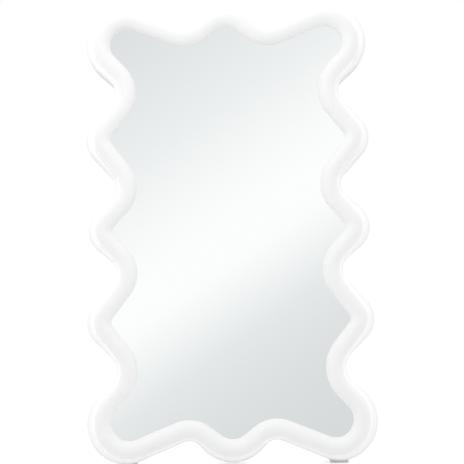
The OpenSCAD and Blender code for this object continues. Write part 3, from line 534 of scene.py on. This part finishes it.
class Tree:
    """A node tree with short ways to add, join and mix nodes."""

    def __init__(self, tree):
        self.tree = tree

    def node(self, kind, **settings):
        made = self.tree.nodes.new(kind)
        for key, value in settings.items():
            setattr(made, key, value)
        return made

    def join(self, output, target):
        self.tree.links.new(output, target)

    def noise(self, place, scale, detail=3.0, rough=0.55):
        """A noise whose scale is a number or another node's output."""
        made = self.node("ShaderNodeTexNoise")
        made.inputs["Detail"].default_value = detail
        made.inputs["Roughness"].default_value = rough
        self.join(place, made.inputs["Vector"])
        if isinstance(scale, (int, float)):
            made.inputs["Scale"].default_value = scale
        else:
            self.join(scale, made.inputs["Scale"])
        return made.outputs["Fac"]

    def mixed(self, share, first, second):
        """A colour that goes from first to second with share. Each is a colour or another node's output."""
        mix = self.node("ShaderNodeMix", data_type="RGBA")
        self.join(share, mix.inputs["Factor"])
        for colour, socket in ((first, mix.inputs["A"]), (second, mix.inputs["B"])):
            if isinstance(colour, tuple):
                socket.default_value = (*colour, 1)
            else:
                self.join(colour, socket)
        return mix.outputs["Result"]

    def ranged(self, value, to, start=(0.0, 1.0)):
        """A number that goes over the range to while value goes over the range start."""
        scale = self.node("ShaderNodeMapRange")
        scale.inputs["From Min"].default_value, scale.inputs["From Max"].default_value = start
        scale.inputs["To Min"].default_value, scale.inputs["To Max"].default_value = to
        self.join(value, scale.inputs["Value"])
        return scale.outputs["Result"]


class Shader(Tree):
    """One material's node tree, with its Principled surface."""

    def __init__(self, name):
        self.material = bpy.data.materials.new(name)
        self.material.use_nodes = True
        super().__init__(self.material.node_tree)
        self.surface = self.tree.nodes["Principled BSDF"]

    def feed(self, **outputs):
        """Joins outputs to the surface's own sockets; an underscore stands for a space."""
        for key, output in outputs.items():
            self.join(output, self.surface.inputs[key.replace("_", " ")])

    def set(self, **values):
        """Constants on the surface's own sockets; an underscore stands for a space."""
        for key, value in values.items():
            self.surface.inputs[key.replace("_", " ")].default_value = value

    def group(self, tree, **values):
        """A shared group at the object's own coordinates, with its numbers."""
        made = self.node("ShaderNodeGroup", node_tree=tree)
        self.join(self.node("ShaderNodeTexCoord").outputs["Object"], made.inputs["Place"])
        for key, value in values.items():
            made.inputs[key].default_value = value
        return made.outputs

    def bump(self, height, depth):
        """Surface relief of a depth in metres."""
        made = self.node("ShaderNodeBump")
        made.inputs["Distance"].default_value = depth
        self.join(height, made.inputs["Height"])
        self.feed(Normal=made.outputs["Normal"])


def new_group(name, numbers_in, values_out):
    """An empty shader group that takes a place and some numbers and puts out values."""
    tree = bpy.data.node_groups.new(name, "ShaderNodeTree")
    tree.interface.new_socket("Place", in_out="INPUT", socket_type="NodeSocketVector")
    for key, value in numbers_in.items():
        socket = tree.interface.new_socket(key, in_out="INPUT", socket_type="NodeSocketFloat")
        socket.default_value = value
    for key in values_out:
        tree.interface.new_socket(key, in_out="OUTPUT", socket_type="NodeSocketFloat")
    return Tree(tree), tree.nodes.new("NodeGroupInput").outputs, tree.nodes.new("NodeGroupOutput").inputs


def moulded_grain():
    """Fine grain of a moulded part (Grain), slow change over its surface (Cloud), and sparse specks, where
    a third noise is near its highest (Dust)."""
    group, given, out = new_group(
        "moulded_grain", {"Fineness": 2500.0, "Spread": 18.0}, ["Grain", "Cloud", "Dust"])
    speck_fineness, speck_start = 700.0, (0.70, 0.82)
    group.join(group.noise(given["Place"], given["Fineness"]), out["Grain"])
    group.join(group.noise(given["Place"], given["Spread"], 4.0), out["Cloud"])
    specks = group.noise(given["Place"], speck_fineness, 1.0, 0.4)
    group.join(group.ranged(specks, (0.0, 1.0), speck_start), out["Dust"])
    return group.tree


def drawn_lines():
    """Fine lines along x, as on rolled or turned metal (Lines): noise stretched a hundredfold. Cloud is a
    slow change over the surface."""
    group, given, out = new_group("drawn_lines", {"Fineness": 3000.0}, ["Lines", "Cloud"])
    cloud_fineness = 60.0
    stretch = group.node("ShaderNodeMapping")
    stretch.inputs["Scale"].default_value = (0.01, 1.0, 1.0)
    group.join(given["Place"], stretch.inputs["Vector"])
    group.join(group.noise(stretch.outputs["Vector"], given["Fineness"], 2.0), out["Lines"])
    group.join(group.noise(given["Place"], cloud_fineness), out["Cloud"])
    return group.tree


GRAIN = moulded_grain()
LINES = drawn_lines()


def moulded(name, low, high, rough, fineness, depth, spread=18.0):
    """Moulded plastic or rubber: colour and gloss drift slowly between two values, under a fine grain, and a
    few specks of dust take the gloss off."""
    shader = Shader(name)
    dulling = 0.25
    grain = shader.group(GRAIN, Fineness=fineness, Spread=spread)
    shader.feed(Base_Color=shader.mixed(grain["Cloud"], low, high))
    gloss = shader.node("ShaderNodeMath", operation="MULTIPLY_ADD")
    gloss.inputs[1].default_value = dulling
    shader.join(grain["Dust"], gloss.inputs[0])
    shader.join(shader.ranged(grain["Cloud"], rough), gloss.inputs[2])
    shader.feed(Roughness=gloss.outputs[0])
    shader.bump(grain["Grain"], depth)
    return shader


def metal(name, low, high, rough, fineness, depth):
    """Rolled, drawn or turned metal: fine lines in its relief and gloss."""
    shader = Shader(name)
    lines = shader.group(LINES, Fineness=fineness)
    shader.feed(Base_Color=shader.mixed(lines["Cloud"], low, high))
    shader.feed(Roughness=shader.ranged(lines["Lines"], rough))
    shader.bump(lines["Lines"], depth)
    shader.set(Metallic=1.0)
    return shader


def glowing(shader, least, most):
    """Adds emission that goes from least to most with the piece's emission attribute: painted light on the
    frame's rim, and glow with painted light on the bead.
    """
    glow_and_painted_light = shader.node("ShaderNodeAttribute", attribute_name="glow_and_painted_light").outputs["Fac"]
    shader.feed(Emission_Color=shader.mixed(glow_and_painted_light, (least, least, least), (most, most, most)))
    shader.set(Emission_Strength=1.0)
    return shader


def frame_white():
    """Glossy white moulding of the front frame, with painted light on its rim beside the bead: emission there,
    as if the bead lit it.
    """
    shader = moulded("frame_white", (0.935, 0.935, 0.93), (0.95, 0.95, 0.945), (0.26, 0.34), 1800, 8e-6)
    # Painted light: emission up to 0.10 on the rim beside the bead fills the shade there.
    return glowing(shader, 0.0, 0.10)


def opal():
    """Opal light bead: milky, and emitting light, most of all on its skirt beside the light strip: partly the
    diffuser's own glow, partly painted light on its shaded faces.
    """
    shader = moulded("opal", (0.85, 0.855, 0.85), (0.875, 0.88, 0.875), (0.28, 0.36), 1500, 6e-6)
    # Emission from 0.085 to 0.28: the diffuser's glow with painted light on its shaded faces.
    return glowing(shader, 0.085, 0.28)


def mirror():
    """Silvered glass with a faint haze of handling."""
    shader = Shader("mirror")
    cloud = shader.group(GRAIN, Fineness=900, Spread=9)["Cloud"]
    shader.feed(Base_Color=shader.mixed(cloud, (0.965, 0.975, 0.972), (0.975, 0.982, 0.980)))
    shader.feed(Roughness=shader.ranged(cloud, (0.012, 0.03)))
    shader.set(Metallic=1.0)
    return shader


def safety_film():
    """Grey film on the back of the glass."""
    return moulded("safety_film", (0.50, 0.51, 0.52), (0.56, 0.57, 0.58), (0.5, 0.6), 1200, 1e-5)


def foam_tape():
    """Black foam tape with open cells."""
    return moulded("foam_tape", (0.10, 0.10, 0.11), (0.16, 0.16, 0.17), (0.75, 0.85), 900, 8e-5)


def strip_white():
    """White solder mask of the light strip."""
    return moulded("strip_white", (0.84, 0.83, 0.79), (0.90, 0.89, 0.85), (0.4, 0.5), 900, 1e-5)


def phosphor():
    """Yellow phosphor of the diodes."""
    return moulded("phosphor", (0.86, 0.70, 0.22), (0.93, 0.80, 0.34), (0.4, 0.5), 2500, 1e-5)


def wire_sleeve():
    """Red wire insulation."""
    return moulded("wire_sleeve", (0.55, 0.04, 0.03), (0.66, 0.07, 0.05), (0.4, 0.5), 1500, 1e-5)


def cover_white():
    """Finely textured white moulding of the rear cover."""
    return moulded("cover_white", (0.82, 0.82, 0.81), (0.86, 0.86, 0.85), (0.42, 0.52), 1500, 1.1e-4)


def screw_steel():
    """Nickel-plated steel of the screws."""
    return metal("screw_steel", (0.46, 0.46, 0.47), (0.56, 0.56, 0.57), (0.28, 0.42), 5000, 1e-5)


def pad_rubber():
    """White soft rubber of the foot pads."""
    return moulded("pad_rubber", (0.84, 0.84, 0.83), (0.88, 0.88, 0.87), (0.55, 0.65), 1500, 2e-5)


def board_green():
    """Solder mask of the control board."""
    return moulded("board_green", (0.03, 0.20, 0.09), (0.06, 0.32, 0.15), (0.30, 0.42), 700, 2e-5, 220.0)


def chip_black():
    """Black moulding compound."""
    return moulded("chip_black", (0.02, 0.02, 0.022), (0.035, 0.035, 0.04), (0.5, 0.6), 4000, 1e-5)


def ferrite():
    """Pressed ferrite of the inductor."""
    return moulded("ferrite", (0.09, 0.09, 0.10), (0.14, 0.14, 0.15), (0.6, 0.7), 3000, 2e-5)


def can_aluminium():
    """Drawn aluminium of the capacitor cans."""
    return metal("can_aluminium", (0.70, 0.71, 0.73), (0.78, 0.79, 0.81), (0.25, 0.4), 4000, 1e-5)


def header_ivory():
    """Ivory plastic of the headers and plugs."""
    return moulded("header_ivory", (0.78, 0.73, 0.61), (0.84, 0.79, 0.68), (0.4, 0.5), 2500, 1e-5)


def socket_steel():
    """Bright steel of the charging socket."""
    return metal("socket_steel", (0.58, 0.58, 0.59), (0.66, 0.66, 0.67), (0.2, 0.34), 5000, 1e-5)


def battery_foil():
    """Crinkled silver pouch of the battery."""
    return metal("battery_foil", (0.62, 0.63, 0.65), (0.70, 0.71, 0.73), (0.3, 0.45), 1500, 3e-5)


def button_white():
    """Smooth plastic of the buttons, a greyer white than the cover, so that they are easy to find."""
    return moulded("button_white", (0.64, 0.64, 0.64), (0.68, 0.68, 0.68), (0.26, 0.34), 3000, 8e-6)


def bracket_steel():
    """Bright zinc-plated steel of the hinge bracket."""
    return metal("bracket_steel", (0.54, 0.54, 0.55), (0.63, 0.63, 0.64), (0.28, 0.42), 2500, 1e-5)


def pin_steel():
    """Ground steel of the hinge pin and its clip."""
    return metal("pin_steel", (0.56, 0.56, 0.57), (0.64, 0.64, 0.65), (0.2, 0.32), 5000, 1e-5)


def washer_nylon():
    """Natural nylon of the washers."""
    return moulded("washer_nylon", (0.80, 0.79, 0.74), (0.85, 0.84, 0.79), (0.4, 0.5), 3000, 1e-5)


def leg_white():
    """Finely textured white moulding of the leg."""
    return moulded("leg_white", (0.84, 0.84, 0.83), (0.88, 0.88, 0.87), (0.40, 0.50), 1500, 1.1e-4)


def foot_rubber():
    """Grey rubber of the leg's foot."""
    return moulded("foot_rubber", (0.24, 0.24, 0.25), (0.31, 0.31, 0.32), (0.62, 0.72), 1800, 9e-5)


FINISHES = [
    frame_white, opal, mirror, safety_film, foam_tape, strip_white, phosphor, wire_sleeve, cover_white,
    screw_steel, pad_rubber, board_green, chip_black, ferrite, can_aluminium, header_ivory, socket_steel,
    battery_foil, button_white, bracket_steel, pin_steel, washer_nylon, leg_white, foot_rubber]
MATERIALS = {finish.__name__: finish().material for finish in FINISHES}


def dress(piece, slot):
    """Gives a piece the one material of its slot."""
    piece.data.materials.clear()
    piece.data.materials.append(MATERIALS[slot])


# Studio


def white_floor():
    """Pale floor that keeps the object's shadow and reads white where nothing shades it: it glows for rays
    from the camera, by to_camera, and for rays from something glossy by to_gloss of that, so that the
    mirror shows it as pale as the light above it."""
    half, to_camera, to_gloss = 3.0, 0.55, 0.4
    mesh = bpy.data.meshes.new("floor")
    corners = [(-half, -half, 0), (half, -half, 0), (half, half, 0), (-half, half, 0)]
    mesh.from_pydata(corners, [], [(0, 1, 2, 3)])
    floor = bpy.data.objects.new("floor", mesh)
    bpy.context.scene.collection.objects.link(floor)
    shader = Shader("floor_white")
    shader.set(Base_Color=(0.82, 0.82, 0.82, 1), Roughness=0.9, Specular_IOR_Level=0.0)
    path = shader.node("ShaderNodeLightPath").outputs
    seen = shader.node("ShaderNodeMath", operation="MAXIMUM")
    shader.join(path["Is Camera Ray"], seen.inputs[0])
    shader.join(shader.ranged(path["Is Glossy Ray"], (0.0, to_gloss)), seen.inputs[1])
    shader.feed(Emission_Strength=shader.ranged(seen.outputs[0], (0.0, to_camera)))
    shader.set(Emission_Color=(1, 1, 1, 1))
    mesh.materials.append(shader.material)


def studio():
    """White to the camera. Otherwise soft light from all round, strongest from above, in front and to the
    left, and within a cone ahead of the mirror a broad band of light that fades to grey on both sides. The
    glass shows it crossing its middle at a slant, with grey corners at its upper left and lower right."""
    world = bpy.data.worlds.new("studio")
    bpy.context.scene.world = world
    world.use_nodes = True
    sky = Tree(world.node_tree)
    sky.tree.nodes.clear()
    direction = sky.node("ShaderNodeTexCoord").outputs["Generated"]

    def spread(axis, low, high):
        """Share from 0 to 1 as the direction's part along axis goes from low to high."""
        dot = sky.node("ShaderNodeVectorMath", operation="DOT_PRODUCT")
        dot.inputs[1].default_value = axis
        sky.join(direction, dot.inputs[0])
        return sky.ranged(dot.outputs["Value"], (0.0, 1.0), (low, high))

    above_left, dim, bright = (-0.22, -0.33, 0.918), 0.79, 0.955
    ahead, cone_edge, cone_core = (0, -0.951, 0.309), 0.90, 0.955
    slant, gaze, reach = np.radians(34.0), np.radians(18.0), 0.3
    across = (np.sin(slant), -np.cos(slant) * np.sin(gaze), -np.cos(slant) * np.cos(gaze))
    band = sky.node("ShaderNodeValToRGB")
    band.color_ramp.interpolation = "B_SPLINE"
    steps = [
        (0.0, (0.675, 0.70, 0.71)), (0.30, (0.875, 0.89, 0.895)), (0.50, (1.04, 1.045, 1.04)),
        (0.58, (0.98, 0.99, 0.985)), (0.68, (0.795, 0.81, 0.825)), (0.85, (0.70, 0.725, 0.73)),
        (1.0, (0.675, 0.705, 0.705))]
    marks = band.color_ramp.elements
    while len(marks) < len(steps):
        marks.new(0.5)
    for mark, (place, colour) in zip(marks, steps):
        mark.position = place
        mark.color = (*colour, 1)
    sky.join(spread(across, -reach, reach), band.inputs["Fac"])
    overhead = sky.mixed(spread(above_left, -1, 1), (dim, dim, dim), (bright, bright, bright))
    front = spread(ahead, cone_edge, cone_core)
    light = sky.node("ShaderNodeBackground")
    sky.join(sky.mixed(front, overhead, band.outputs["Color"]), light.inputs["Color"])
    white = sky.node("ShaderNodeBackground")
    white.inputs["Color"].default_value = (1, 1, 1, 1)
    choose = sky.node("ShaderNodeMixShader")
    sky.join(sky.node("ShaderNodeLightPath").outputs["Is Camera Ray"], choose.inputs["Fac"])
    sky.join(light.outputs["Background"], choose.inputs[1])
    sky.join(white.outputs["Background"], choose.inputs[2])
    sky.join(choose.outputs["Shader"], sky.node("ShaderNodeOutputWorld").inputs["Surface"])


def key_lamp():
    """Soft square lamp above and in front of the mirror, a little to the left, near enough to fade down it.
    Neither the camera nor the glass sees it."""
    side, watts = 0.4, 0.48
    place, aim = Vector((-0.15, -0.33, 0.72)), Vector((0.0, 0.0, 0.42))
    data = bpy.data.lights.new("key", "AREA")
    data.shape = "SQUARE"
    data.size = side
    data.energy = watts
    lamp = bpy.data.objects.new("key", data)
    bpy.context.scene.collection.objects.link(lamp)
    lamp.visible_camera = False
    lamp.visible_glossy = False
    turn = (aim - place).to_track_quat("-Z", "Y").to_matrix().to_4x4()
    lamp.matrix_world = Matrix.Translation(place) @ turn


def camera():
    """Camera in front of the mirror and a little above its middle, turned slightly about its own axis. Its
    angles and distance were fitted to the mirror's outline in the photograph."""
    azimuth, elevation, roll = np.radians([-0.29, 6.0, -0.98])
    away, focal = 877.1, 879.2
    frame_px, sensor = 464.0, 36.0
    target = np.array([2.63, SHIFT, 227.07])
    level = np.array([np.sin(azimuth), -np.cos(azimuth), 0.0])
    back = level * np.cos(elevation) + [0.0, 0.0, np.sin(elevation)]
    side = np.cross(-back, [0, 0, 1])
    side /= np.linalg.norm(side)
    rise = np.cross(side, -back)
    right = side * np.cos(roll) + rise * np.sin(roll)
    up = rise * np.cos(roll) - side * np.sin(roll)
    data = bpy.data.cameras.new("camera")
    data.sensor_width = sensor
    data.lens = focal / frame_px * sensor
    data.clip_start = 0.01
    data.clip_end = 50.0
    made = bpy.data.objects.new("camera", data)
    bpy.context.scene.collection.objects.link(made)
    matrix = np.eye(4)
    matrix[:3, :3] = np.stack([right, up, back], 1)
    matrix[:3, 3] = (target + away * back) / 1000
    made.matrix_world = Matrix(matrix.tolist())
    bpy.context.scene.camera = made


bpy.context.scene.view_settings.view_transform = "Standard"
camera()
studio()
key_lamp()
white_floor()
for node, solid in frame["nodes"].items():
    dress(solid, SLOTS[node])
opal_bead()
front_moulding()
rear_shell()
ribbed_leg()
grip_foot()
button("power_button")
button("tone_button")
for node, (name, width) in EASED.items():
    eased(node, name, width)
